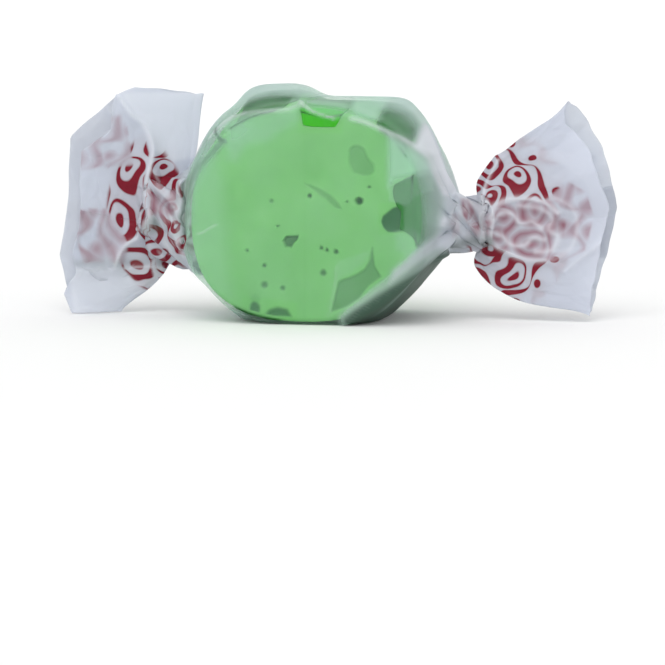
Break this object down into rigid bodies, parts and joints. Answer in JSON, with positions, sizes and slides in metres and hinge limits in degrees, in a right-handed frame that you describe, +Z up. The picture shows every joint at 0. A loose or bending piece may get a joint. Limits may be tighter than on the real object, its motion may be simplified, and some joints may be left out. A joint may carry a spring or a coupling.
{
  "type": "salt water taffy chew in a twisted paper wrapper",
  "caption": "Pale green taffy slice with dark green jelly stripes in a translucent wax paper that is twisted at both ends.",
  "frame": {"origin": "middle of the flat patch that the chew lies on, under the middle of the taffy slice", "axes": "+X to the right along the twisted tube of paper, -Y out of the cut face that shows, +Z up"},
  "size_m": [0.0622, 0.0201, 0.0258],
  "materials": {
    "wax_paper": "waxed paper",
    "taffy": "satin",
    "jelly": "moist"
  },
  "bodies": {
    "root": {"wrapper": "wax_paper", "taffy": "taffy", "jelly_top": "jelly", "jelly_upper_right": "jelly", "jelly_right": "jelly", "jelly_bottom_left": "jelly", "jelly_upper_left": "jelly"}
  },
  "joints": []
}
